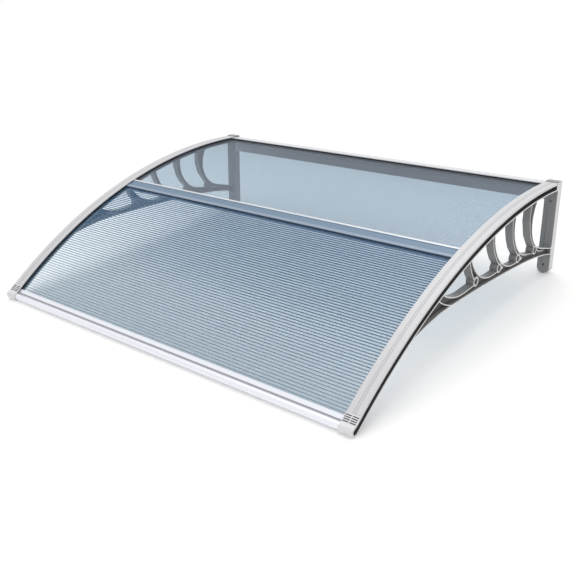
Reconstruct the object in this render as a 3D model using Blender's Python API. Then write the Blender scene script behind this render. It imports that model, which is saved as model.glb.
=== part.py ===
"""Door canopy: two moulded lattice brackets, two twin-wall sheets, three bars.

Metres, +Z up, front towards -Y. The wall is the plane y = 0.
Heights are measured from a base level just under the feet of the wall plates.
"""
import bpy
import bmesh
import math
from mathutils import Matrix, Vector
from mathutils.geometry import delaunay_2d_cdt

for old in list(bpy.data.objects):
    bpy.data.objects.remove(old, do_unlink=True)

# Overall size
WIDTH = 1.000
PROJECTION = 0.7791
FIT = 0.0003

# How far cutters reach past a face, how near points are merged, and facet counts
CUT_PAST = 0.0010
MERGE = 0.00001
MERGE_AFTER_CUT = 0.00002
HOLE_STEPS = 14
BORE_STEPS = 10
EDGE_STEPS = 14
NOSE_STEPS = 14
STRUT_STEPS = 8
HUB_STEPS = 5

# Arc of the roof: every layer is concentric with it
CREST_Y = -0.0257
CREST_Z = 0.1954
RAIL_RADIUS = 1.1415
RAIL_RIM = 0.0025
CHANNEL_HEIGHT = 0.0097
RAIL_TOP_RIM = 0.0018
RAIL_WIDTH = 0.0165
CHANNEL_DEPTH = 0.0120
LEDGE_WIDTH = 0.0100
LEDGE_THICKNESS = 0.0034
LEDGE_LIFT = 0.0006
ARC_STEPS = 24
RAIL_END_BACK = 0.0046
CHANNEL_SETBACK = 0.0070
CHANNEL_TOP_BACK = 0.0069
CHANNEL_LOW_BACK = 0.0046
CHANNEL_TURN = (0.56 * math.pi, 1.50 * math.pi)

# Roof sheets
SHEET_THICKNESS = 0.0050
SHEET_SKIN = 0.0005
FLUTE_PITCH = 0.00645
FLUTE_WEB = 0.0005
SHEET_EDGE_GAP = 0.0007

# Cover strips and their rubber seals
COVER_WIDTH = 0.0290
COVER_THICKNESS = 0.0022
COVER_EDGE = 0.0005
COVER_GROOVE_AT = (0.0122, 0.0162)
COVER_GROOVE_WIDTH = 0.0012
COVER_GROOVE_DEPTH = 0.0006
CLIP_AT = 0.0143
CLIP_WIDTH = 0.0019
CLIP_LENGTH = 0.0045
SEAL_WIDTH = 0.0050
SEAL_INSET = 0.0004

# Rounded nose and the end caps
NOSE_RADIUS = 0.0073
NOSE_LIFT = 0.0025
NOSE_HEEL = 0.0069
CHANNEL_END_RADIUS = 0.0056
CAP_WALL = 0.0020
CAP_LENGTH = 0.0255
CAP_SLOTS = 4
CAP_SLOT_PITCH = 0.0040
CAP_SLOT_WIDTH = 0.0020
CAP_SLOT_DEPTH = 0.0013
CAP_SLOT_START = 0.0043
CAP_SLOT_EDGE = 0.0012
CAP_SLOT_RIB = 0.0020
CAP_TOP_BACK = 0.0064
CAP_INNER_BACK = 0.0060
CAP_TURN_TOP = 0.30 * math.pi
CAP_TURN_INNER = 0.40 * math.pi
CAP_TURN_END = 1.44 * math.pi

# Bracket lattice
RIM = 0.0021
WEB = 0.0028
OUTER_POCKET = 0.0080
EYELET_RADIUS = 0.0100
EYELET_HOLE = 0.0067
EYELETS = ((-0.3815, 0.0833), (-0.2835, 0.0850), (-0.1965, 0.0835), (-0.1135, 0.0820))
STRUT_REAR_RADII = (0.0960, 0.0955, 0.0790, 0.0701)
STRUT_REAR_OFFSETS = ((0.0629, 0.0905), (0.0634, 0.0870), (0.0488, 0.0778), (0.0434, 0.0669))
STRUT_FRONT_RADIUS = 0.1000
STRUT_FRONT_OFFSETS = ((0.0649, 0.0727), (0.0601, 0.0855), (0.0580, 0.0864), (0.0566, 0.0848))
FOOT_BACK = 0.0125
FOOT_DROP = 0.0055
TIP_CENTRE = (-0.4400, 0.1995)
TIP_RADIUS = 0.1260
TIP_RIB_DEPTH = 0.0155
OPENING_ROUND = 0.0065
HEEL_CLEAR = 1.2
CORNER_ROUND = 0.0022
CORNER_SHARE = 0.45
SMOOTH_CORNER = -0.86
OUTSIDE_ARC = 0.00005
SEARCH_DEPTH = 0.05
CHORD_KNOTS = ((0.000, 0.0450), (-0.060, 0.0570), (-0.140, 0.0642), (-0.280, 0.0662),
               (-0.420, 0.0630), (-0.520, 0.0565), (-0.620, 0.0340))

# Wall plate
PLATE_WIDTH = 0.0285
PLATE_DEPTH = 0.0200
PLATE_TOP = 0.2136
PLATE_WALL = 0.0022
PLATE_FRONT = 0.0025
HEAD_WIDTH = 0.0300
PLATE_FOOT = 0.0030
PLATE_RIB = 0.0025
PLATE_RIBS = (0.0540, 0.1060, 0.1530)
SCREW_HOLE_HEIGHTS = (0.0230, 0.1700)
SCREW_HOLE = 0.0030
SCREW_BOSS = 0.0058
PLATE_GROOVE_AT = 0.0185
PLATE_GROOVE_WIDTH = 0.0016
PLATE_GROOVE_DEPTH = 0.0009

# Bars
REAR_BAR_HEIGHT = 0.0380
REAR_BAR_DEPTH = 0.0190
BAR_WALL = 0.0018
REAR_LIP = 0.0085
REAR_GASKET_HEIGHT = 0.0022
REAR_SHEET_EDGE = 0.0206
SPIGOT_LENGTH = 0.0120
MID_BAR_Y = -0.4095
MID_BAR_HALF = 0.0160
MID_BAR_WEB = 0.0065
MID_FLANGE = 0.0016
MID_HEADROOM = 0.0006
MID_BEAD_WIDTH = 0.0070
MID_BEAD_SLOPE = 0.0010
MID_GASKET_HEIGHT = 0.0013
MID_GASKET_WIDTH = 0.0040
GASKET_PROUD = 0.0008
FRONT_FLANGE = 0.0024
FRONT_FLANGE_LENGTH = 0.0190
FRONT_GROOVE = 0.0010
FRONT_LOWER_FLANGE = 0.0023
FRONT_BORE = 0.0046
SHEET_TO_NOSE = 0.0115

# Bar end screws
SCREW_SHANK = 0.0018
SCREW_LENGTH = 0.0180
SCREW_HEAD = 0.0036
SCREW_HEAD_TOP = 0.0029
SCREW_STEPS = 12
SCREW_HEAD_HEIGHT = 0.0020
SCREW_RECESS = 0.0015
SCREW_RECESS_DEPTH = 0.0011

# Levels of the layers, as radii from the arc's centre
HALF = WIDTH / 2
ARC_Y = CREST_Y
ARC_Z = CREST_Z - RAIL_RADIUS
CHANNEL_LOW = RAIL_RADIUS + RAIL_RIM
CHANNEL_HIGH = CHANNEL_LOW + CHANNEL_HEIGHT
RAIL_TOP = CHANNEL_HIGH + RAIL_TOP_RIM
LEDGE_LOW = RAIL_RADIUS + LEDGE_LIFT
LEDGE_TOP = LEDGE_LOW + LEDGE_THICKNESS
SHEET_LOW = LEDGE_TOP + FIT
SHEET_HIGH = SHEET_LOW + SHEET_THICKNESS
SEAL_LOW = SHEET_HIGH + FIT
COVER_LOW = RAIL_TOP + FIT
COVER_HIGH = COVER_LOW + COVER_THICKNESS
CAP_RADIUS = NOSE_RADIUS + FIT + CAP_WALL
BAR_HALF = HALF - RAIL_WIDTH - FIT
SHEET_HALF = HALF - RAIL_WIDTH - SHEET_EDGE_GAP


def on_arc(angle, radius):
    return (ARC_Y - radius * math.sin(angle), ARC_Z + radius * math.cos(angle))


def angle_at(y, radius):
    return math.asin((ARC_Y - y) / radius)


def reach(point):
    return math.hypot(point[0] - ARC_Y, point[1] - ARC_Z)


def arc_run(radius, start, end, steps):
    return [on_arc(start + (end - start) * i / steps, radius) for i in range(steps + 1)]


def circle_run(centre, radius, start, end, steps):
    points = []
    for i in range(steps + 1):
        a = start + (end - start) * i / steps
        points.append((centre[0] + radius * math.cos(a), centre[1] + radius * math.sin(a)))
    return points


def bisect(func, low, high):
    """Root of func between low and high, where func(low) <= 0 <= func(high)."""
    for _ in range(60):
        middle = (low + high) / 2
        if func(middle) > 0:
            high = middle
        else:
            low = middle
    return (low + high) / 2


NOSE_REACH = (RAIL_RADIUS + RAIL_TOP) / 2 - RAIL_TOP_RIM / 2 + NOSE_LIFT
NOSE_ANGLE = angle_at(-PROJECTION + CAP_RADIUS, NOSE_REACH)
NOSE = on_arc(NOSE_ANGLE, NOSE_REACH)
CAP_START = NOSE_ANGLE - CAP_LENGTH / COVER_HIGH
PLATE_ANGLE = angle_at(-PLATE_DEPTH - FIT, COVER_LOW)
MID_ANGLE = angle_at(MID_BAR_Y, SHEET_HIGH)
FRONT_BAR_START = NOSE_ANGLE - FRONT_FLANGE_LENGTH / SHEET_HIGH
REAR_BAR_TOP = ARC_Z + SHEET_HIGH + REAR_GASKET_HEIGHT + 2 * FIT + BAR_WALL
REAR_BAR_FRONT = REAR_BAR_DEPTH + REAR_LIP
ORIGIN_Z = REAR_BAR_TOP - REAR_BAR_HEIGHT / 2

root = bpy.data.objects.new("door_canopy", None)
bpy.context.scene.collection.objects.link(root)
root.location = (0, 0, -ORIGIN_Z)


def material(name, colour, roughness, metallic):
    mat = bpy.data.materials.new(name)
    mat.use_nodes = True
    shader = mat.node_tree.nodes["Principled BSDF"]
    shader.inputs["Base Color"].default_value = (*colour, 1)
    shader.inputs["Roughness"].default_value = roughness
    shader.inputs["Metallic"].default_value = metallic
    return mat


GREY = material("grey_moulding", (0.33, 0.33, 0.35), 0.42, 0.0)
SILVER = material("silver_strip", (0.72, 0.72, 0.74), 0.38, 0.7)
CAP_GREY = material("cap_moulding", (0.70, 0.70, 0.73), 0.40, 0.0)
ALUMINIUM = material("anodised_aluminium", (0.80, 0.80, 0.84), 0.30, 0.9)
RUBBER = material("black_rubber", (0.015, 0.015, 0.018), 0.70, 0.0)
POLYCARBONATE = material("blue_polycarbonate", (0.42, 0.58, 0.76), 0.12, 0.0)
STEEL = material("dark_steel", (0.10, 0.10, 0.11), 0.40, 0.9)


def solid(name, bm):
    """Object of one closed mesh, standing at the world's origin."""
    bmesh.ops.remove_doubles(bm, verts=bm.verts, dist=MERGE)
    bmesh.ops.recalc_face_normals(bm, faces=bm.faces)
    mesh = bpy.data.meshes.new(name)
    bm.to_mesh(mesh)
    bm.free()
    obj = bpy.data.objects.new(name, mesh)
    bpy.context.scene.collection.objects.link(obj)
    return obj


def place(obj, mat, location=(0, 0, 0), tilt=0.0):
    """Gives a finished piece its material and its place in the canopy."""
    obj.data.materials.append(mat)
    obj.parent = root
    obj.location = location
    obj.rotation_euler = (tilt, 0, 0)
    return obj


def make(name, bm, mat, location=(0, 0, 0), tilt=0.0):
    return place(solid(name, bm), mat, location, tilt)


def taken(obj):
    """Mesh of a helper object, which is removed."""
    bm = bmesh.new()
    bm.from_mesh(obj.data)
    bpy.data.objects.remove(obj, do_unlink=True)
    return bm


AXES = {
    "x": Matrix(((0, 0, 1), (1, 0, 0), (0, 1, 0))),
    "y": Matrix(((1, 0, 0), (0, 0, 1), (0, 1, 0))),
}


def within(point, rings):
    """True inside the outline and outside its holes, by counting crossings."""
    odd = False
    for ring in rings:
        for i, a in enumerate(ring):
            b = ring[i - 1]
            if (a[1] > point[1]) != (b[1] > point[1]):
                if point[0] < a[0] + (b[0] - a[0]) * (point[1] - a[1]) / (b[1] - a[1]):
                    odd = not odd
    return odd


def prism(outline, start, end, axis="x", holes=()):
    """Solid of one outline and its holes, from start to end along an axis.

    Outline points are (y, z) for axis x and (x, z) for axis y.
    """
    points = []
    edges = []
    for ring in (outline, *holes):
        first = len(points)
        points.extend(ring)
        edges.extend((first + i, first + (i + 1) % len(ring)) for i in range(len(ring)))
    flat, _, triangles, *_ = delaunay_2d_cdt([Vector(p) for p in points], edges, [], 0, 1e-7)
    faces = []
    for face in triangles:
        middle = sum((flat[i] for i in face), Vector((0, 0))) / 3
        if within(middle, (outline, *holes)):
            faces.append(face)
    bm = bmesh.new()
    turn = AXES[axis]
    low = [bm.verts.new(turn @ p.to_3d() + turn.col[2] * start) for p in flat]
    high = [bm.verts.new(turn @ p.to_3d() + turn.col[2] * end) for p in flat]
    used = {}
    for face in faces:
        bm.faces.new([low[i] for i in face])
        bm.faces.new([high[i] for i in reversed(face)])
        for i in range(len(face)):
            edge = (face[i], face[(i + 1) % len(face)])
            key = tuple(sorted(edge))
            used.setdefault(key, []).append(edge)
    for runs in used.values():
        if len(runs) == 1:
            a, b = runs[0]
            bm.faces.new((low[b], low[a], high[a], high[b]))
    return bm


def box(x0, x1, y0, y1, z0, z1):
    return prism([(y0, z0), (y1, z0), (y1, z1), (y0, z1)], x0, x1)


def sweep(section, start, end, steps, base):
    """Solid of an (x, height) section carried along the roof arc."""
    bm = bmesh.new()
    rings = []
    for i in range(steps + 1):
        a = start + (end - start) * i / steps
        ring = []
        for x, n in section:
            y, z = on_arc(a, base + n)
            ring.append(bm.verts.new((x, y, z)))
        rings.append(ring)
    count = len(section)
    for one, two in zip(rings, rings[1:]):
        for i in range(count):
            j = (i + 1) % count
            bm.faces.new((one[i], one[j], two[j], two[i]))
    bm.faces.new(rings[0])
    bm.faces.new(list(reversed(rings[-1])))
    return bm


def turned(profile, segments):
    """Solid of a (radius, x) profile turned about the X axis, closed at both ends."""
    bm = bmesh.new()
    rings = []
    for radius, x in profile:
        if radius == 0:
            rings.append([bm.verts.new((x, 0, 0))])
            continue
        ring = []
        for i in range(segments):
            a = 2 * math.pi * i / segments
            ring.append(bm.verts.new((x, radius * math.cos(a), radius * math.sin(a))))
        rings.append(ring)
    for one, two in zip(rings, rings[1:]):
        for i in range(segments):
            j = (i + 1) % segments
            if len(one) == 1:
                bm.faces.new((one[0], two[j], two[i]))
            elif len(two) == 1:
                bm.faces.new((one[i], one[j], two[0]))
            else:
                bm.faces.new((one[i], one[j], two[j], two[i]))
    return bm


def combine(target, cutter_bm, operation):
    """Joins a solid to the target or cuts it away, and keeps the result as its mesh."""
    cutter = solid("cutter", cutter_bm)
    cutter.hide_render = True
    cutter.display_type = "WIRE"
    mod = target.modifiers.new("combine", "BOOLEAN")
    mod.object = cutter
    mod.operation = operation
    mod.solver = "EXACT"
    bpy.context.view_layer.update()
    result = target.evaluated_get(bpy.context.evaluated_depsgraph_get())
    mesh = bpy.data.meshes.new_from_object(result)
    tidy = bmesh.new()
    tidy.from_mesh(mesh)
    bmesh.ops.remove_doubles(tidy, verts=tidy.verts, dist=MERGE_AFTER_CUT)
    bmesh.ops.dissolve_degenerate(tidy, edges=tidy.edges, dist=MERGE)
    slits = [edge for edge in tidy.edges if len(edge.link_faces) == 1]
    bmesh.ops.holes_fill(tidy, edges=slits, sides=0)
    tidy.to_mesh(mesh)
    tidy.free()
    target.modifiers.clear()
    target.data = mesh
    bpy.data.objects.remove(cutter, do_unlink=True)


def cut(target, bm):
    combine(target, bm, "DIFFERENCE")


def join(target, bm):
    combine(target, bm, "UNION")


def hole(centre, radius, steps=HOLE_STEPS):
    """Closed circle as an outline."""
    return circle_run(centre, radius, 0, 2 * math.pi, steps)[:-1]


def mirrored(obj, name):
    """Left-hand copy of a right-hand piece."""
    bm = bmesh.new()
    bm.from_mesh(obj.data)
    bm.transform(Matrix.Scale(-1, 4, (1, 0, 0)))
    bmesh.ops.reverse_faces(bm, faces=bm.faces)
    x, y, z = obj.location
    return make(name, bm, obj.data.materials[0], (-x, y, z), obj.rotation_euler.x)


def rounded(points, radius):
    """Outline with each sharp corner replaced by a short curve."""
    result = []
    count = len(points)
    for i, p in enumerate(points):
        a = points[i - 1]
        b = points[(i + 1) % count]
        u = (a[0] - p[0], a[1] - p[1])
        v = (b[0] - p[0], b[1] - p[1])
        lu = math.hypot(*u)
        lv = math.hypot(*v)
        cosine = (u[0] * v[0] + u[1] * v[1]) / (lu * lv)
        if cosine < SMOOTH_CORNER:
            result.append(p)
            continue
        back = min(radius, lu * CORNER_SHARE)
        ahead = min(radius, lv * CORNER_SHARE)
        start = (p[0] + u[0] / lu * back, p[1] + u[1] / lu * back)
        end = (p[0] + v[0] / lv * ahead, p[1] + v[1] / lv * ahead)
        for t in (0.0, 0.5, 1.0):
            s = 1 - t
            result.append((s * s * start[0] + 2 * s * t * p[0] + t * t * end[0],
                           s * s * start[1] + 2 * s * t * p[1] + t * t * end[1]))
    return result


def chord_height(y):
    """Lower edge of the bracket: a smooth curve through its knots."""
    knots = CHORD_KNOTS
    i = 0
    while i < len(knots) - 2 and y < knots[i + 1][0]:
        i += 1
    y0, z0 = knots[i]
    y1, z1 = knots[i + 1]
    if y < y1:
        return z1 + (y - y1) * (z1 - z0) / (y1 - y0)
    before = knots[max(i - 1, 0)]
    after = knots[min(i + 2, len(knots) - 1)]
    m0 = (z1 - before[1]) / (y1 - before[0])
    m1 = (after[1] - z0) / (after[0] - y0)
    h = y1 - y0
    t = (y - y0) / h
    return ((2 * t ** 3 - 3 * t ** 2 + 1) * z0 + (t ** 3 - 2 * t ** 2 + t) * h * m0
            + (3 * t ** 2 - 2 * t ** 3) * z1 + (t ** 3 - t ** 2) * h * m1)


def chord_meeting(lift):
    """Where the lower edge, raised by lift, runs into the rail's underside."""
    return -bisect(lambda t: reach((-t, chord_height(-t) + lift)) - RAIL_RADIUS, 0.0, PROJECTION)


def nose_crossing(radius, level):
    """Angle round the nose where its circle meets the layer at this level."""
    span = (level ** 2 - NOSE_REACH ** 2 - radius ** 2) / (2 * NOSE_REACH * radius)
    return NOSE_ANGLE + math.pi / 2 - math.acos(max(-1.0, min(1.0, span)))


def nose_run(radius, low, high, steps):
    """Round of the nose from the layer at level low, round the front, to level high."""
    start = nose_crossing(radius, low) + 2 * math.pi
    end = nose_crossing(radius, high)
    if start - end > 2 * math.pi:
        start -= 2 * math.pi
    return circle_run(NOSE, radius, start, end, steps)


def bracket_outline():
    """Side of the bracket without its openings, from the wall plate to the nose."""
    back = -PLATE_DEPTH / 2
    front = chord_meeting(0)
    low = []
    for i in range(EDGE_STEPS + 1):
        y = back + (front - back) * i / EDGE_STEPS
        low.append((y, chord_height(y)))
    under = arc_run(RAIL_RADIUS, angle_at(front, RAIL_RADIUS), NOSE_ANGLE - RAIL_END_BACK / RAIL_RADIUS, 6)[1:]
    nose = nose_run(NOSE_RADIUS, NOSE_REACH - NOSE_HEEL, RAIL_TOP, NOSE_STEPS)
    over = arc_run(RAIL_TOP, angle_at(nose[-1][0], RAIL_TOP), angle_at(back, RAIL_TOP), ARC_STEPS)[1:]
    return low + under + nose + over


def strut_edge(centre, radius, level, lowest, steps):
    """Arc from the rail's underside at this level down to the angle lowest."""
    top = bisect(lambda a: reach((centre[0] - radius * math.cos(a), centre[1] + radius * math.sin(a)))
                 - level, -math.pi / 2, math.pi / 2)
    points = []
    for i in range(steps + 1):
        a = top + (-lowest - top) * i / steps
        points.append((centre[0] - radius * math.cos(a), centre[1] + radius * math.sin(a)))
    return points


def opening(index, grow):
    """Opening in front of strut number index, made larger all round by grow.

    Opening 0 lies behind the tip web and the last one next to the wall plate.
    """
    if index == 0:
        centre = TIP_CENTRE
        radius = TIP_RADIUS
    else:
        foot = EYELETS[index - 1]
        offset = STRUT_REAR_OFFSETS[index - 1]
        centre = (foot[0] + offset[0], foot[1] + offset[1])
        radius = STRUT_REAR_RADII[index - 1]
    last = index == len(EYELETS)
    if last:
        aim = (-PLATE_DEPTH, chord_height(-PLATE_DEPTH) + EYELET_RADIUS + FOOT_DROP)
    else:
        foot = EYELETS[index]
        aim = (foot[0] - FOOT_BACK, foot[1] - FOOT_DROP)
    dy = aim[0] - centre[0]
    dz = aim[1] - centre[1]
    distance = max(math.hypot(dy, dz), radius + OUTSIDE_ARC)
    normal = math.atan2(dz, dy) - math.acos(radius / distance)
    ny = math.cos(normal)
    nz = math.sin(normal)
    lowest = math.atan2(-nz, -ny)
    level = RAIL_RADIUS + grow
    left = strut_edge(centre, radius + grow, level, lowest, STRUT_STEPS)

    def above_floor(y, z):
        return (y - centre[0]) * ny + (z - centre[1]) * nz - radius - grow

    if last:
        y = -PLATE_DEPTH + grow
        bottom = bisect(lambda z: -above_floor(y, z), chord_height(y) - SEARCH_DEPTH, centre[1])
        right = [(y, bottom), (y, on_arc(angle_at(y, level), level)[1])]
    else:
        offset = STRUT_FRONT_OFFSETS[index]
        hub = (foot[0] + offset[0], foot[1] + offset[1])
        spoke = STRUT_FRONT_RADIUS - grow
        corner = bisect(lambda a: above_floor(hub[0] - spoke * math.cos(a), hub[1] - spoke * math.sin(a)),
                        0.0, math.pi / 2)
        right = list(reversed(strut_edge(hub, spoke, level, corner, HUB_STEPS)))
    top_end = angle_at(left[0][0], level)
    top_start = angle_at(right[-1][0], level)
    top = arc_run(level, top_start, top_end, 2)[1:-1]
    outline = left + right + top
    heel = len(left)
    return shaped(outline, heel, grow)


def shaped(outline, heel, grow):
    """Rounds the heel of an opening widely and its other corners a little."""
    p = outline[heel]
    result = []
    for i, q in enumerate(outline):
        if i == heel:
            result.extend(heel_round(outline, heel, OPENING_ROUND + grow))
        elif math.dist(p, q) > HEEL_CLEAR * (OPENING_ROUND + grow):
            result.append(q)
    return rounded(result, CORNER_ROUND + grow)


def heel_round(outline, heel, radius):
    p = outline[heel]
    start = walk(outline, heel, -1, radius)
    end = walk(outline, heel, 1, radius)
    points = []
    for t in (0.0, 0.25, 0.5, 0.75, 1.0):
        s = 1 - t
        points.append((s * s * start[0] + 2 * s * t * p[0] + t * t * end[0],
                       s * s * start[1] + 2 * s * t * p[1] + t * t * end[1]))
    return points


def walk(outline, index, step, distance):
    """Point at a distance from a corner along the outline."""
    here = outline[index]
    left = distance
    while True:
        index = (index + step) % len(outline)
        there = outline[index]
        length = math.dist(here, there)
        if length >= left:
            f = left / length
            return (here[0] + (there[0] - here[0]) * f, here[1] + (there[1] - here[1]) * f)
        left -= length
        here = there


def lattice_pockets(obj, x0, x1):
    """Recess between the rims on one side of the bracket."""
    back = -PLATE_DEPTH - RIM
    front = chord_meeting(RIM)
    low = []
    for i in range(EDGE_STEPS + 1):
        y = back + (front - back) * i / EDGE_STEPS
        low.append((y, chord_height(y) + RIM))
    over = arc_run(RAIL_RADIUS, angle_at(front, RAIL_RADIUS), angle_at(back, RAIL_RADIUS), 16)[1:]
    pocket = solid("pocket", prism(low + over, x0, x1))
    for index in range(len(EYELETS) + 1):
        cut(pocket, prism(opening(index, RIM), x0 - CUT_PAST, x1 + CUT_PAST))
    for centre in EYELETS:
        cut(pocket, prism(hole(centre, EYELET_RADIUS), x0 - CUT_PAST, x1 + CUT_PAST))
    outer = circle_run(TIP_CENTRE, TIP_RADIUS + TIP_RIB_DEPTH + RIM / 2, math.pi, 1.5 * math.pi, 12)
    inner = circle_run(TIP_CENTRE, TIP_RADIUS + TIP_RIB_DEPTH - RIM / 2, 1.5 * math.pi, math.pi, 12)
    cut(pocket, prism(outer + inner, x0 - CUT_PAST, x1 + CUT_PAST))
    cut(obj, taken(pocket))


def make_bracket():
    """Right bracket: x = 0 is its outer face, and the roof lies towards -X."""
    obj = solid("right_bracket", prism(bracket_outline(), -RAIL_WIDTH, 0))
    past = CUT_PAST
    for index in range(len(EYELETS) + 1):
        cutter = solid("opening", prism(opening(index, 0), -RAIL_WIDTH - past, past))
        for centre in EYELETS:
            cut(cutter, prism(hole(centre, EYELET_RADIUS), -RAIL_WIDTH - 2 * past, 2 * past))
        cut(obj, taken(cutter))
    foot = PLATE_WIDTH / 2
    head_low = REAR_BAR_TOP + FIT
    plate = circle_run((-foot, PLATE_FOOT + foot), foot, 0, -math.pi, HOLE_STEPS)
    plate += [(-PLATE_WIDTH, head_low), (-HEAD_WIDTH, head_low), (-HEAD_WIDTH, PLATE_TOP), (0, PLATE_TOP)]
    join(obj, prism(plate, -PLATE_DEPTH, 0, "y"))
    add_ledges(obj)
    add_spigots(obj)
    lattice_pockets(obj, -OUTER_POCKET, past)
    lattice_pockets(obj, -RAIL_WIDTH - past, -OUTER_POCKET - WEB)
    for centre in EYELETS:
        cut(obj, prism(hole(centre, EYELET_HOLE), -RAIL_WIDTH - past, past))
    cut_channel(obj)
    hollow_plate(obj, foot)
    return place(obj, GREY, (HALF, 0, 0))


def add_ledges(obj):
    """Shelf that carries the sheet's edge, left open where the bars pass."""
    back = angle_at(-REAR_BAR_FRONT - 2 * FIT - GASKET_PROUD, LEDGE_TOP)
    notch = (MID_BAR_HALF + 2 * FIT) / LEDGE_TOP
    front = FRONT_BAR_START - 2 * FIT / LEDGE_TOP
    inner = -RAIL_WIDTH - LEDGE_WIDTH
    root_x = -RAIL_WIDTH + CUT_PAST
    section = [(inner, 0), (root_x, 0), (root_x, LEDGE_THICKNESS),
               (inner, LEDGE_THICKNESS)]
    join(obj, sweep(section, back, MID_ANGLE - notch, EDGE_STEPS, LEDGE_LOW))
    join(obj, sweep(section, MID_ANGLE + notch, front, EDGE_STEPS, LEDGE_LOW))


def rear_bore():
    """Inside of the rear bar's box: y0, y1, z0, z1."""
    low = REAR_BAR_TOP - REAR_BAR_HEIGHT
    return (-REAR_BAR_DEPTH + BAR_WALL, -BAR_WALL, low + BAR_WALL, REAR_BAR_TOP - BAR_WALL)


def add_spigots(obj):
    """Lugs that enter the hollow ends of the rear bar."""
    y0, y1, z0, z1 = rear_bore()
    start = -PLATE_WIDTH
    join(obj, box(start - SPIGOT_LENGTH, start + PLATE_WALL / 2, y0 + FIT, y1 - FIT, z0 + FIT, z1 - FIT))


def cut_channel(obj):
    """Long channel in the rail's outer side, its screw holes and the slot for the cover."""
    back = angle_at(-PLATE_DEPTH - CHANNEL_SETBACK, CHANNEL_LOW)
    high = arc_run(CHANNEL_HIGH, back, NOSE_ANGLE - CHANNEL_TOP_BACK / CHANNEL_HIGH, ARC_STEPS)
    end = circle_run(NOSE, CHANNEL_END_RADIUS, NOSE_ANGLE + CHANNEL_TURN[0], NOSE_ANGLE + CHANNEL_TURN[1], 9)
    low = arc_run(CHANNEL_LOW, NOSE_ANGLE - CHANNEL_LOW_BACK / CHANNEL_LOW, back, ARC_STEPS)
    cut(obj, prism(high + end + low, -CHANNEL_DEPTH, CUT_PAST))
    for centre in screw_places():
        ring = hole(centre, SCREW_SHANK + FIT, BORE_STEPS)
        cut(obj, prism(ring, -RAIL_WIDTH - CUT_PAST, -CHANNEL_DEPTH + CUT_PAST))
    half = CLIP_WIDTH / 2 + FIT
    rise = COVER_HIGH - COVER_LOW + CLIP_LENGTH + FIT
    section = [(-CLIP_AT - half, 0), (-CLIP_AT + half, 0), (-CLIP_AT + half, rise), (-CLIP_AT - half, rise)]
    floor = COVER_LOW - CLIP_LENGTH - FIT
    cut(obj, sweep(section, PLATE_ANGLE, CAP_START, ARC_STEPS, floor))


def hollow_plate(obj, foot):
    """Back of the wall plate: shallow cells between ribs, and two screw holes."""
    depth = -PLATE_DEPTH + PLATE_FRONT
    past = CUT_PAST
    edges = [None, *PLATE_RIBS, REAR_BAR_TOP - BAR_WALL]
    for i in range(len(edges) - 1):
        high = edges[i + 1] - PLATE_RIB / 2
        if i == 0:
            cell = circle_run((-foot, PLATE_FOOT + foot), foot - PLATE_WALL, 0, -math.pi, HOLE_STEPS)
            cell += [(-PLATE_WIDTH + PLATE_WALL, high), (-PLATE_WALL, high)]
        else:
            low = edges[i] + PLATE_RIB / 2
            cell = [(-PLATE_WALL, low), (-PLATE_WIDTH + PLATE_WALL, low),
                    (-PLATE_WIDTH + PLATE_WALL, high), (-PLATE_WALL, high)]
        cutter = solid("cell", prism(cell, depth, past, "y"))
        for z in SCREW_HOLE_HEIGHTS:
            cut(cutter, prism(hole((-foot, z), SCREW_BOSS), depth - past, 2 * past, "y"))
        cut(obj, taken(cutter))
    for z in SCREW_HOLE_HEIGHTS:
        cut(obj, prism(hole((-foot, z), SCREW_HOLE), -PLATE_DEPTH - past, past, "y"))
    half = PLATE_GROOVE_WIDTH / 2
    cut(obj, box(-PLATE_GROOVE_AT - half, -PLATE_GROOVE_AT + half,
                 -PLATE_DEPTH - past, -PLATE_DEPTH + PLATE_GROOVE_DEPTH,
                 SCREW_HOLE_HEIGHTS[0] + SCREW_BOSS, SCREW_HOLE_HEIGHTS[1] - SCREW_BOSS))


def screw_places():
    """Centres of the end screws of the middle and front bars."""
    return (on_arc(MID_ANGLE, (SHEET_LOW + SHEET_HIGH) / 2), NOSE)


def make_cover():
    """Strip over the sheet's edge, with two fine grooves and a clip leg below."""
    w = COVER_WIDTH
    t = COVER_THICKNESS
    e = COVER_EDGE
    section = [(-w, 0), (-CLIP_AT - CLIP_WIDTH / 2, 0), (-CLIP_AT - CLIP_WIDTH / 2, -CLIP_LENGTH),
               (-CLIP_AT + CLIP_WIDTH / 2, -CLIP_LENGTH), (-CLIP_AT + CLIP_WIDTH / 2, 0),
               (0, 0), (0, t - e), (-e, t)]
    for at in COVER_GROOVE_AT:
        half = COVER_GROOVE_WIDTH / 2
        section += [(-at + half, t), (-at, t - COVER_GROOVE_DEPTH), (-at - half, t)]
    section += [(-w + e, t), (-w, t - e)]
    end = CAP_START - FIT / COVER_LOW
    return make("right_cover_strip", sweep(section, PLATE_ANGLE, end, ARC_STEPS, COVER_LOW),
                SILVER, (HALF, 0, 0))


def seal_spans():
    """Angle ranges of the rear and the front seal, clear of the three bars."""
    half = (MID_BAR_HALF + GASKET_PROUD + 2 * FIT) / SEAL_LOW
    back = angle_at(-REAR_BAR_FRONT - GASKET_PROUD - 2 * FIT, SEAL_LOW)
    front = FRONT_BAR_START - 2 * FIT / SEAL_LOW
    return (("rear", back, MID_ANGLE - half), ("front", MID_ANGLE + half, front))


def make_seals():
    made = []
    x0 = -COVER_WIDTH + SEAL_INSET
    height = COVER_LOW - SEAL_LOW - FIT
    for part, start, end in seal_spans():
        section = [(x0, 0), (x0 + SEAL_WIDTH, 0), (x0 + SEAL_WIDTH, height), (x0, height)]
        made.append(make("right_" + part + "_seal", sweep(section, start, end, EDGE_STEPS, SEAL_LOW),
                         RUBBER, (HALF, 0, 0)))
    return made


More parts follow.
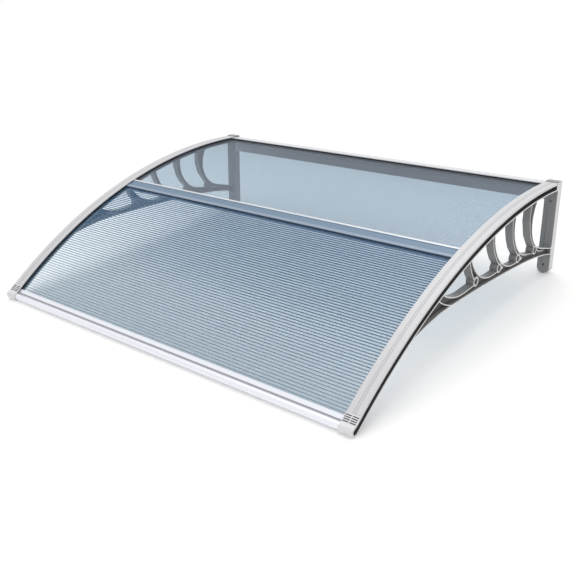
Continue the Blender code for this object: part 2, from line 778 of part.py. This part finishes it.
def make_cap():
    """End cap: ribbed end of the cover, turned down round the nose."""
    end = NOSE_ANGLE + CAP_TURN_END
    over = arc_run(COVER_HIGH, CAP_START, NOSE_ANGLE - CAP_TOP_BACK / COVER_HIGH, 6)
    down = circle_run(NOSE, CAP_RADIUS, NOSE_ANGLE + CAP_TURN_TOP, end, NOSE_STEPS)
    up = circle_run(NOSE, NOSE_RADIUS + FIT, end, NOSE_ANGLE + CAP_TURN_INNER, NOSE_STEPS)
    under = arc_run(COVER_LOW, NOSE_ANGLE - CAP_INNER_BACK / COVER_LOW, CAP_START, 5)
    obj = solid("right_end_cap", prism(over + down + up + under, -COVER_WIDTH, 0))
    middle = -COVER_WIDTH / 2
    floor = COVER_HIGH - CAP_SLOT_DEPTH
    for i in range(CAP_SLOTS):
        a = CAP_START + (CAP_SLOT_START + i * CAP_SLOT_PITCH) / COVER_HIGH
        half = CAP_SLOT_WIDTH / 2 / COVER_HIGH
        outline = [on_arc(a - half, floor), on_arc(a + half, floor),
                   on_arc(a + half, COVER_HIGH + CUT_PAST), on_arc(a - half, COVER_HIGH + CUT_PAST)]
        cut(obj, prism(outline, -COVER_WIDTH + CAP_SLOT_EDGE, middle - CAP_SLOT_RIB / 2))
        cut(obj, prism(outline, middle + CAP_SLOT_RIB / 2, -CAP_SLOT_EDGE))
    return place(obj, CAP_GREY, (HALF, 0, 0))


def make_sheet(name, start, end):
    """Twin-wall sheet between two angles, its flutes running across the roof."""
    flutes = int((end - start) * SHEET_LOW / FLUTE_PITCH)
    step = (end - start) / flutes
    steps = max(6, flutes // 4)
    outline = arc_run(SHEET_LOW, start, end, steps) + arc_run(SHEET_HIGH, end, start, steps)
    web = FLUTE_WEB / 2 / SHEET_LOW
    low = SHEET_LOW + SHEET_SKIN
    high = SHEET_HIGH - SHEET_SKIN
    holes = []
    for i in range(flutes):
        a = start + i * step + web
        b = start + (i + 1) * step - web
        if i == 0:
            a += web
        if i == flutes - 1:
            b -= web
        holes.append([on_arc(a, low), on_arc(a, high), on_arc(b, high), on_arc(b, low)])
    return make(name, prism(outline, -SHEET_HALF, SHEET_HALF, "x", holes), POLYCARBONATE)


def make_rear_bar():
    """Box section on the wall with a slot for the sheet along its top front."""
    low = REAR_BAR_TOP - REAR_BAR_HEIGHT
    back = -REAR_BAR_DEPTH - BAR_WALL / 2
    front = -REAR_BAR_FRONT
    slot_high = REAR_BAR_TOP - BAR_WALL
    slot_low = ARC_Z + SHEET_LOW * math.cos(angle_at(front, SHEET_LOW)) - FIT
    outline = [(0, low), (0, REAR_BAR_TOP), (front, REAR_BAR_TOP), (front, slot_high), (back, slot_high),
               (back, slot_low), (front, slot_low), (front, slot_low - BAR_WALL),
               (-REAR_BAR_DEPTH, slot_low - BAR_WALL), (-REAR_BAR_DEPTH, low)]
    y0, y1, z0, z1 = rear_bore()
    bore = [(y0, z0), (y1, z0), (y1, z1), (y0, z1)]
    length = HALF - PLATE_WIDTH - FIT
    bar = make("rear_bar", prism(outline, -length, length, "x", [bore]), ALUMINIUM)
    low = ARC_Z + SHEET_HIGH + FIT
    gasket = [(front - GASKET_PROUD, low), (back - FIT, low), (back - FIT, slot_high - FIT),
              (front - GASKET_PROUD, slot_high - FIT)]
    make("rear_bar_gasket", prism(gasket, -length, length), RUBBER)
    return bar


def make_mid_bar():
    """H section that joins the two sheets, with a bead along its rear edge."""
    middle = (SHEET_LOW + SHEET_HIGH) / 2
    half = SHEET_THICKNESS / 2
    low = -half - FIT
    high = half + MID_GASKET_HEIGHT + 2 * FIT
    web = MID_BAR_WEB / 2
    h = MID_BAR_HALF
    top = high + MID_FLANGE
    bead = COVER_LOW - middle - MID_HEADROOM
    outline = [(-h, low - MID_FLANGE), (h, low - MID_FLANGE), (h, low), (web, low), (web, high), (h, high),
               (h, top), (h - MID_BEAD_SLOPE, bead), (h - MID_BEAD_WIDTH + MID_BEAD_SLOPE, bead),
               (h - MID_BEAD_WIDTH, top - FIT), (-h + MID_BEAD_WIDTH + MID_BEAD_SLOPE, top - FIT),
               (-h + MID_BEAD_WIDTH, top), (-h, top), (-h, high), (-web, high), (-web, low), (-h, low)]
    bore = hole((0, 0), SCREW_SHANK + FIT, BORE_STEPS)
    centre = on_arc(MID_ANGLE, middle)
    at = (0, centre[0], centre[1])
    make("mid_bar", prism(outline, -BAR_HALF, BAR_HALF, "x", [bore]), ALUMINIUM, at, MID_ANGLE)
    for name, side in (("mid_bar_rear_gasket", 1), ("mid_bar_front_gasket", -1)):
        y0 = side * (h + GASKET_PROUD)
        y1 = side * (h + GASKET_PROUD - MID_GASKET_WIDTH)
        strip = [(y0, half + FIT), (y1, half + FIT), (y1, high - FIT), (y0, high - FIT)]
        make(name, prism(strip, -SHEET_HALF, SHEET_HALF), RUBBER, at, MID_ANGLE)


def make_front_bar():
    """Nose section: a flange on the sheet, a groove and a round front with a bore."""
    start = FRONT_BAR_START
    flange_low = SHEET_HIGH + FIT
    flange_high = flange_low + FRONT_FLANGE
    deep = NOSE_ANGLE - (SHEET_TO_NOSE - 2 * FIT) / SHEET_HIGH
    groove = NOSE_ANGLE - (NOSE_RADIUS + 2 * FRONT_GROOVE) / SHEET_HIGH
    half = FRONT_GROOVE / flange_high
    top = [on_arc(start, flange_high), on_arc(groove - half, flange_high),
           on_arc(groove, flange_high - FRONT_GROOVE), on_arc(groove + half, flange_high)]
    begin = nose_crossing(NOSE_RADIUS, flange_high)
    round_front = circle_run(NOSE, NOSE_RADIUS, begin, NOSE_ANGLE + math.pi * 1.5, NOSE_STEPS)
    lower = SHEET_LOW - FIT
    bottom = [on_arc(start, lower - FRONT_LOWER_FLANGE), on_arc(start, lower), on_arc(deep, lower),
              on_arc(deep, flange_low), on_arc(start, flange_low)]
    bore = hole(NOSE, FRONT_BORE)
    make("front_bar", prism(top + round_front + bottom, -BAR_HALF, BAR_HALF, "x", [bore]), ALUMINIUM)


def make_screws():
    made = []
    for name, centre in zip(("right_mid_screw", "right_front_screw"), screw_places()):
        head = -CHANNEL_DEPTH + FIT
        top = head + SCREW_HEAD_HEIGHT
        profile = [(0, top - SCREW_RECESS_DEPTH), (SCREW_RECESS, top - SCREW_RECESS_DEPTH),
                   (SCREW_RECESS, top), (SCREW_HEAD_TOP, top), (SCREW_HEAD, head + SCREW_HEAD_HEIGHT / 2),
                   (SCREW_HEAD, head), (SCREW_SHANK, head), (SCREW_SHANK, head - SCREW_LENGTH + SCREW_SHANK),
                   (0, head - SCREW_LENGTH)]
        made.append(make(name, turned(profile, SCREW_STEPS), STEEL, (HALF, centre[0], centre[1])))
    return made


right = [make_bracket(), make_cover(), make_cap(), *make_seals(), *make_screws()]
for piece in right:
    mirrored(piece, piece.name.replace("right", "left"))
make_sheet("rear_sheet", angle_at(-REAR_SHEET_EDGE, SHEET_LOW),
           MID_ANGLE - (MID_BAR_WEB / 2 + 2 * FIT) / SHEET_LOW)
make_sheet("front_sheet", MID_ANGLE + (MID_BAR_WEB / 2 + 2 * FIT) / SHEET_LOW,
           NOSE_ANGLE - SHEET_TO_NOSE / SHEET_LOW)
make_rear_bar()
make_mid_bar()
make_front_bar()
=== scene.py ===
import bpy
import math
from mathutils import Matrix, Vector

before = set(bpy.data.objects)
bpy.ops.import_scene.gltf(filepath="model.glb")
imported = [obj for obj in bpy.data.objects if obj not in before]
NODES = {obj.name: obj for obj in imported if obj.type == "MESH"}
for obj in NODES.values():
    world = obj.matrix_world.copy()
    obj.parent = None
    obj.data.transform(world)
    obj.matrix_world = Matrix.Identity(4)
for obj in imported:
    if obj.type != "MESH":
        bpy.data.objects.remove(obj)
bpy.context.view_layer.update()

# Metres in the row frame: the wall is y = 0, the front is -y, the rear bar's middle is z = 0.
# The roof is one arc, and each of its layers has a radius of its own
HALF_WIDTH = 0.5
ORIGIN_Z = 0.1903
CREST_Z = 0.1954
RAIL_RADIUS = 1.1415
ARC_Y = -0.0257
ARC_Z = CREST_Z - RAIL_RADIUS - ORIGIN_Z

# Grain of the plastics, streaks of the metals and of the extruded sheets
PLASTIC_IOR = 1.46
PLASTIC_SCALE = 900
PLASTIC_BUMP = (0.10, 0.0002)
COLOUR_SWING = 0.03
METAL_SCALE = 60
METAL_BUMP = (0.05, 0.0001)
ROUGHNESS_SWING = 0.03
GRAIN_DETAIL = 4
SHEET_IOR = 1.58
SHEET_SCALE = 6
SHEET_DETAIL = 2
SHEET_STRETCH = (0.4, 30, 30)
SHEET_ROUGHNESS = (0.12, 0.20)
RAMP_ENDS = (0.35, 0.65)
EVEN = (1, 1, 1)
ALONG_BAR = (0.02, 1, 1)
ALONG_ARC = (1, 0.03, 0.03)
WHITE = (1, 1, 1, 1)


def new_material(name):
    """A material with its nodes, its links and its shader."""
    mat = bpy.data.materials.new(name)
    mat.use_nodes = True
    nodes = mat.node_tree.nodes
    return mat, nodes, mat.node_tree.links, nodes["Principled BSDF"]


def add_noise(nodes, links, scale, detail, stretch):
    """A noise in object coordinates, drawn out along the axes that have a low stretch."""
    coords = nodes.new("ShaderNodeTexCoord")
    mapping = nodes.new("ShaderNodeMapping")
    mapping.inputs["Scale"].default_value = stretch
    noise = nodes.new("ShaderNodeTexNoise")
    noise.inputs["Scale"].default_value = scale
    noise.inputs["Detail"].default_value = detail
    links.new(coords.outputs["Object"], mapping.inputs["Vector"])
    links.new(mapping.outputs["Vector"], noise.inputs["Vector"])
    return noise


def add_bump(nodes, links, shader, noise, strength, distance):
    """Lets a noise roughen the surface."""
    bump = nodes.new("ShaderNodeBump")
    bump.inputs["Strength"].default_value = strength
    bump.inputs["Distance"].default_value = distance
    links.new(noise.outputs["Fac"], bump.inputs["Height"])
    links.new(bump.outputs["Normal"], shader.inputs["Normal"])


def vary(nodes, links, shader, noise, socket, low, high):
    """Lets a noise move a colour, or a number given three times, between two values."""
    ramp = nodes.new("ShaderNodeValToRGB")
    for element, position, value in zip(ramp.color_ramp.elements, RAMP_ENDS, (low, high)):
        element.position = position
        element.color = (*value, 1)
    links.new(noise.outputs["Fac"], ramp.inputs["Fac"])
    links.new(ramp.outputs["Color"], shader.inputs[socket])


def plastic(name, colour, roughness):
    """A moulded plastic or a rubber with a fine grain."""
    mat, nodes, links, shader = new_material(name)
    shader.inputs["Roughness"].default_value = roughness
    shader.inputs["IOR"].default_value = PLASTIC_IOR
    noise = add_noise(nodes, links, PLASTIC_SCALE, GRAIN_DETAIL, EVEN)
    add_bump(nodes, links, shader, noise, *PLASTIC_BUMP)
    vary(nodes, links, shader, noise, "Base Color",
         [c * (1 - COLOUR_SWING) for c in colour],
         [min(1, c * (1 + COLOUR_SWING)) for c in colour])
    return mat


def metal(name, colour, roughness, metallic, stretch):
    """A metal or a metal-coloured strip with faint streaks along it."""
    mat, nodes, links, shader = new_material(name)
    shader.inputs["Base Color"].default_value = (*colour, 1)
    shader.inputs["Metallic"].default_value = metallic
    noise = add_noise(nodes, links, METAL_SCALE, GRAIN_DETAIL, stretch)
    add_bump(nodes, links, shader, noise, *METAL_BUMP)
    vary(nodes, links, shader, noise, "Roughness",
         (roughness - ROUGHNESS_SWING,) * 3, (roughness + ROUGHNESS_SWING,) * 3)
    return mat


def tinted_sheet(name, colour, share, tint):
    """Clear plastic that tints what is seen through it and shows a share of a colour of its
    own, which on the rear sheet is a painted reflection.
    """
    mat, nodes, links, shader = new_material(name)
    shader.inputs["Base Color"].default_value = (*colour, 1)
    shader.inputs["IOR"].default_value = SHEET_IOR
    noise = add_noise(nodes, links, SHEET_SCALE, SHEET_DETAIL, SHEET_STRETCH)
    smooth, dull = SHEET_ROUGHNESS
    vary(nodes, links, shader, noise, "Roughness", (smooth,) * 3, (dull,) * 3)
    through = nodes.new("ShaderNodeBsdfTransparent")
    through.inputs["Color"].default_value = (*tint, 1)
    blend = nodes.new("ShaderNodeMixShader")
    blend.inputs["Fac"].default_value = share
    links.new(through.outputs["BSDF"], blend.inputs[1])
    links.new(shader.outputs["BSDF"], blend.inputs[2])
    links.new(blend.outputs["Shader"], nodes["Material Output"].inputs["Surface"])
    return mat


# The bracket is one grey moulding. These copies paint light and shade into it: painted light on
# the outer rims, painted shade on the side walls, the recesses, the channel and the inner side,
# and painted light on the ledge under the sheet
RIM_PAINTED_LIGHT = plastic("moulding_rim_painted_light", (0.68, 0.68, 0.69), 0.34)
SIDE_PAINTED_SHADE = plastic("moulding_side_painted_shade", (0.295, 0.292, 0.288), 0.36)
RECESS_PAINTED_SHADE = plastic("moulding_recess_painted_shade", (0.055, 0.056, 0.058), 0.42)
CHANNEL_PAINTED_SHADE = plastic("moulding_channel_painted_shade", (0.080, 0.080, 0.084), 0.50)
INNER_PAINTED_SHADE = plastic("moulding_inner_painted_shade", (0.085, 0.085, 0.090), 0.42)
LEDGE_PAINTED_LIGHT = plastic("moulding_ledge_painted_light", (0.62, 0.62, 0.63), 0.42)
CAP = plastic("cap_moulding", (0.78, 0.78, 0.80), 0.34)
# Painted shade in the end caps' slots
SLOT_PAINTED_SHADE = plastic("cap_slots_painted_shade", (0.07, 0.07, 0.075), 0.45)
STRIP = metal("silver_strip", (0.66, 0.66, 0.675), 0.44, 0.10, ALONG_ARC)
# Painted shade in the cover strips' grooves
GROOVE_PAINTED_SHADE = metal("silver_strip_groove_painted_shade", (0.47, 0.47, 0.48), 0.46, 0.10, ALONG_ARC)
BARS = metal("anodised_aluminium", (0.86, 0.88, 0.94), 0.28, 0.60, ALONG_BAR)
# Painted shade in the front bar's groove
BAR_GROOVE_PAINTED_SHADE = metal("anodised_aluminium_groove_painted_shade", (0.42, 0.42, 0.47), 0.40, 0.20, ALONG_BAR)
# Copies of the middle bar's anodised aluminium: a painted highlight on the bead, painted shade
# and a bluish painted reflection on the band and in the valley
BEAD_PAINTED_HIGHLIGHT = metal("anodised_aluminium_bead_painted_highlight", (0.70, 0.72, 0.74), 0.32, 0.30, ALONG_BAR)
BAND_PAINTED_SHADE = metal("anodised_aluminium_band_painted_shade", (0.28, 0.35, 0.45), 0.36, 0.10, ALONG_BAR)
VALLEY_PAINTED_SHADE = metal("anodised_aluminium_valley_painted_shade", (0.15, 0.235, 0.34), 0.36, 0.10, ALONG_BAR)
REAR_BAR = metal("anodised_aluminium_rear", (0.76, 0.77, 0.79), 0.40, 0.05, ALONG_BAR)
# Painted light on the rear bar's front face, which lies in shade under the sheet
REAR_FACE_PAINTED_LIGHT = metal("anodised_aluminium_rear_face_painted_light", (0.93, 0.94, 0.96), 0.40, 0.05, ALONG_BAR)
RUBBER = plastic("black_rubber", (0.012, 0.012, 0.014), 0.62)
GASKET = plastic("black_rubber_gasket", (0.050, 0.065, 0.090), 0.55)
STEEL = metal("dark_steel", (0.13, 0.13, 0.14), 0.40, 0.9, EVEN)
FRONT_SKIN = tinted_sheet("blue_polycarbonate",
                          (0.42, 0.72, 1.00), 0.062, (0.992, 1.000, 1.000))
FRONT_WEB = tinted_sheet("blue_polycarbonate_front_web",
                         (0.03, 0.10, 0.28), 0.52, (0.82, 0.92, 1.00))
# The rear sheet's whitish colour is a painted reflection of the white surroundings, mirrored in
# the sheet at a low angle
REAR_SKIN_PAINTED_REFLECTION = tinted_sheet("blue_polycarbonate_rear",
                         (0.80, 0.82, 0.92), 0.10, (0.845, 0.890, 0.920))
REAR_WEB = tinted_sheet("blue_polycarbonate_rear_web",
                        (0.22, 0.31, 0.42), 0.05, (0.95, 0.97, 0.98))

# Slot and first look of each piece, by the end of its name
LOOKS = {
    "cover_strip": ("silver_strip", STRIP),
    "end_cap": ("cap_moulding", CAP),
    "seal": ("black_rubber", RUBBER),
    "gasket": ("black_rubber", RUBBER),
    "screw": ("dark_steel", STEEL),
    "front_sheet": ("blue_polycarbonate", FRONT_SKIN),
    "rear_sheet": ("blue_polycarbonate", REAR_SKIN_PAINTED_REFLECTION),
    "_bar": ("anodised_aluminium", BARS),
}


def paint(obj, mat):
    """Gives a piece one look."""
    obj.data.materials.clear()
    obj.data.materials.append(mat)


def split(obj, look, *others):
    """Adds looks after the first, and gives each face the one whose number look() returns."""
    for mat in others:
        obj.data.materials.append(mat)
    for face in obj.data.polygons:
        face.material_index = look(obj.matrix_world @ face.center, face.normal)


def depth_of(centre):
    """How far inwards a point lies from the outer side of the nearer bracket."""
    return HALF_WIDTH - abs(centre.x)


def reach_of(centre):
    """How far a point lies from the middle of the roof's arc."""
    return math.hypot(centre.y - ARC_Y, centre.z - ARC_Z)


def within(value, limits):
    low, high = limits
    return low < value < high


for name, obj in NODES.items():
    for ending, (slot, mat) in LOOKS.items():
        if name.endswith(ending):
            paint(obj, mat)

# A face looks along an axis when its normal's share of that axis is over these
FACING = 0.5
FLAT = 0.9


def sheet_look(centre, normal):
    """0 skin, 1 web between the flutes."""
    outward = Vector((0, centre.y - ARC_Y, centre.z - ARC_Z)).normalized()
    return int(abs(normal.dot(outward)) < FACING and abs(normal.x) < FACING)


split(NODES["front_sheet"], sheet_look, FRONT_WEB)
split(NODES["rear_sheet"], sheet_look, REAR_WEB)

# Bracket: painted light on the rims and the ledge, painted shade on the side walls, recesses,
# channel and inner side, by where each face lies
RIM_DEPTH = 0.0004
POCKET_DEPTH = 0.0086
CHANNEL_DEPTH = 0.0125
LEDGE_DEPTH = 0.0163
LEDGE_REACH = (1.1418, 1.1537)
CHANNEL_WALLS = (1.1437, 1.1540)
CHANNEL_FLOOR = (1.1440, 1.1543)
PLATE_FRONT = -0.0200
SHARP_ANGLE = 28


def bracket_look(centre, normal):
    """0 rim with painted light, 1 side wall, 2 recess, 3 channel and 4 inner side with painted
    shade, 5 ledge with painted light.
    """
    depth = depth_of(centre)
    reach = reach_of(centre)
    if depth > LEDGE_DEPTH and within(reach, LEDGE_REACH):
        return 5
    if abs(normal.x) <= FLAT:
        in_channel = within(reach, CHANNEL_WALLS) and 0 < depth < CHANNEL_DEPTH
        return 3 if in_channel else 1
    if depth < RIM_DEPTH:
        return 0
    if depth < CHANNEL_DEPTH and within(reach, CHANNEL_FLOOR):
        return 3
    if centre.y >= PLATE_FRONT:
        return 1
    return 2 if depth < POCKET_DEPTH else 4


for name in ("left_bracket", "right_bracket"):
    obj = NODES[name]
    paint(obj, RIM_PAINTED_LIGHT)
    split(obj, bracket_look, SIDE_PAINTED_SHADE, RECESS_PAINTED_SHADE, CHANNEL_PAINTED_SHADE, INNER_PAINTED_SHADE, LEDGE_PAINTED_LIGHT)
    obj.data.shade_smooth()
    obj.data.set_sharp_from_angle(angle=math.radians(SHARP_ANGLE))

# Cover strips: painted shade in the fine grooves. End caps: painted shade in the slots on
# either side of a middle rib
GROOVE_DEPTHS = (0.0122, 0.0162)
GROOVE_HALF = 0.0009
GROOVE_REACH = (1.1568, 1.1578)
SLOT_DEPTHS = (0.0011, 0.0279)
SLOT_REACH = (1.1564, 1.1578)
RIB_DEPTH = 0.0145
RIB_HALF = 0.0009
CAP_LIP = -0.7700


def strip_look(centre, _normal):
    """0 strip, 1 groove with painted shade."""
    aside = min(abs(depth_of(centre) - middle) for middle in GROOVE_DEPTHS)
    return int(aside < GROOVE_HALF and within(reach_of(centre), GROOVE_REACH))


def cap_look(centre, _normal):
    """0 cap, 1 slot with painted shade."""
    depth = depth_of(centre)
    beside_rib = within(depth, SLOT_DEPTHS) and abs(depth - RIB_DEPTH) > RIB_HALF
    return int(beside_rib and centre.y > CAP_LIP and within(reach_of(centre), SLOT_REACH))


for side in ("left", "right"):
    split(NODES[side + "_cover_strip"], strip_look, GROOVE_PAINTED_SHADE)
    split(NODES[side + "_end_cap"], cap_look, SLOT_PAINTED_SHADE)

# Middle bar: a painted highlight on the bead at the rear, painted shade with a bluish painted
# reflection in the valley and on the front band
MID_BEAD_FRONT = -0.4015
MID_BAND_REAR = -0.4175


def mid_bar_look(centre, _normal):
    """0 bead with a painted highlight, 1 band and 2 valley with painted shade and a bluish
    painted reflection.
    """
    if centre.y > MID_BEAD_FRONT:
        return 0
    return 1 if centre.y < MID_BAND_REAR else 2


def rear_bar_look(_centre, normal):
    """0 bar, 1 front face with painted light that makes up for the shade it gets under the
    sheet.
    """
    return int(normal.y < -FACING)


# Front bar: painted shade in the groove between the flange and the round nose
BAR_GROOVE_Y = (-0.7675, -0.7630)
BAR_GROOVE_FLOOR = -0.2530


def front_bar_look(centre, normal):
    """0 bar, 1 groove with painted shade."""
    in_groove = within(centre.y, BAR_GROOVE_Y) and centre.z > BAR_GROOVE_FLOOR
    return int(in_groove and abs(normal.x) < FACING)


paint(NODES["mid_bar"], BEAD_PAINTED_HIGHLIGHT)
split(NODES["mid_bar"], mid_bar_look, BAND_PAINTED_SHADE, VALLEY_PAINTED_SHADE)
paint(NODES["mid_bar_front_gasket"], GASKET)
paint(NODES["rear_bar"], REAR_BAR)
split(NODES["rear_bar"], rear_bar_look, REAR_FACE_PAINTED_LIGHT)
split(NODES["front_bar"], front_bar_look, BAR_GROOVE_PAINTED_SHADE)


def seen_rays(nodes, links):
    """1 for camera, glossy and transmission rays, 0 for the rays that only carry light."""
    path = nodes.new("ShaderNodeLightPath")
    seen = path.outputs["Is Camera Ray"]
    for kind in ("Is Glossy Ray", "Is Transmission Ray"):
        either = nodes.new("ShaderNodeMath")
        either.operation = "MAXIMUM"
        links.new(seen, either.inputs[0])
        links.new(path.outputs[kind], either.inputs[1])
        seen = either.outputs["Value"]
    return seen


# Floor: it touches the feet and the noses of the brackets, so it leans towards the front
FEET = Vector((0, -0.010, -0.1876))
NOSES = Vector((0, -0.769, -0.2692))
LEAN = math.atan2(FEET.z - NOSES.z, FEET.y - NOSES.y)
FLOOR_Y = -0.39
FLOOR_RADIUS = 9.0
FLOOR_CORNERS = 96
FLOOR_COLOUR = (0.95, 0.94, 0.925, 1)
FLOOR_ROUGHNESS = 0.7
FLOOR_SPECULAR = 0.1
FLOOR_LIFT = 0.17


def floor_material():
    """A matt floor, lifted towards white where it is seen but not where it lights a piece."""
    mat, nodes, links, shader = new_material("floor")
    shader.inputs["Base Color"].default_value = FLOOR_COLOUR
    shader.inputs["Roughness"].default_value = FLOOR_ROUGHNESS
    shader.inputs["Specular IOR Level"].default_value = FLOOR_SPECULAR
    glow = nodes.new("ShaderNodeEmission")
    glow.inputs["Color"].default_value = WHITE
    lift = nodes.new("ShaderNodeMath")
    lift.operation = "MULTIPLY"
    lift.inputs[1].default_value = FLOOR_LIFT
    links.new(seen_rays(nodes, links), lift.inputs[0])
    links.new(lift.outputs["Value"], glow.inputs["Strength"])
    both = nodes.new("ShaderNodeAddShader")
    links.new(shader.outputs["BSDF"], both.inputs[0])
    links.new(glow.outputs["Emission"], both.inputs[1])
    links.new(both.outputs["Shader"], nodes["Material Output"].inputs["Surface"])
    return mat


bpy.ops.mesh.primitive_circle_add(vertices=FLOOR_CORNERS, radius=FLOOR_RADIUS, fill_type="NGON",
                                  location=(0, FLOOR_Y, (FEET.z + NOSES.z) / 2))
floor = bpy.context.object
floor.name = "floor"
floor.rotation_euler = (LEAN, 0, 0)
floor.data.materials.append(floor_material())

# Light: a white world that lights less than it shows, two soft lamps and a wide sun
WORLD_LIGHT = 0.62
WORLD_SEEN = 1.0
SUN_POWER = 1.00
SUN_ANGLE = 50
SUN_AHEAD = (0.16, -0.30, -1)


def white_world():
    """A white world with one strength for the light and another where it is seen."""
    world = bpy.data.worlds.new("studio")
    world.use_nodes = True
    nodes = world.node_tree.nodes
    links = world.node_tree.links
    lighting = nodes["Background"]
    seen = nodes.new("ShaderNodeBackground")
    for shader, strength in ((lighting, WORLD_LIGHT), (seen, WORLD_SEEN)):
        shader.inputs["Color"].default_value = WHITE
        shader.inputs["Strength"].default_value = strength
    blend = nodes.new("ShaderNodeMixShader")
    links.new(seen_rays(nodes, links), blend.inputs["Fac"])
    links.new(lighting.outputs["Background"], blend.inputs[1])
    links.new(seen.outputs["Background"], blend.inputs[2])
    links.new(blend.outputs["Shader"], nodes["World Output"].inputs["Surface"])
    return world


def place(name, data, spot, ahead):
    """Puts a lamp or the camera in the scene, looking along a direction."""
    obj = bpy.data.objects.new(name, data)
    bpy.context.scene.collection.objects.link(obj)
    obj.location = spot
    obj.rotation_euler = ahead.to_track_quat("-Z", "Y").to_euler()
    return obj


def lamp(name, power, size, spot, aim):
    """A square lamp at a spot, turned to a point."""
    light = bpy.data.lights.new(name, "AREA")
    light.energy = power
    light.size = size
    place(name, light, spot, Vector(aim) - Vector(spot))


bpy.context.scene.world = white_world()
lamp("right_side", 7, 1.6, (2.4, -1.2, 1.0), (0.2, -0.4, -0.1))
lamp("front_fill", 8, 2.0, (0.3, -3.0, 1.6), (0.1, -0.7, -0.2))
sun = bpy.data.lights.new("sky", "SUN")
sun.energy = SUN_POWER
sun.angle = math.radians(SUN_ANGLE)
place("sky", sun, (0, 0, 0), Vector(SUN_AHEAD))

# Camera, fitted to the photo
LENS = 49.43
SENSOR = 36
EYE = (1.13415, -1.69793, 0.39681)
AZIMUTH = math.radians(39.881)
ELEVATION = math.radians(20.038)
AHEAD = Vector((-math.sin(AZIMUTH) * math.cos(ELEVATION),
                math.cos(AZIMUTH) * math.cos(ELEVATION),
                -math.sin(ELEVATION)))
camera = bpy.data.cameras.new("camera")
camera.sensor_width = SENSOR
camera.lens = LENS
bpy.context.scene.camera = place("camera", camera, EYE, AHEAD)

bpy.context.scene.view_settings.view_transform = "Standard"
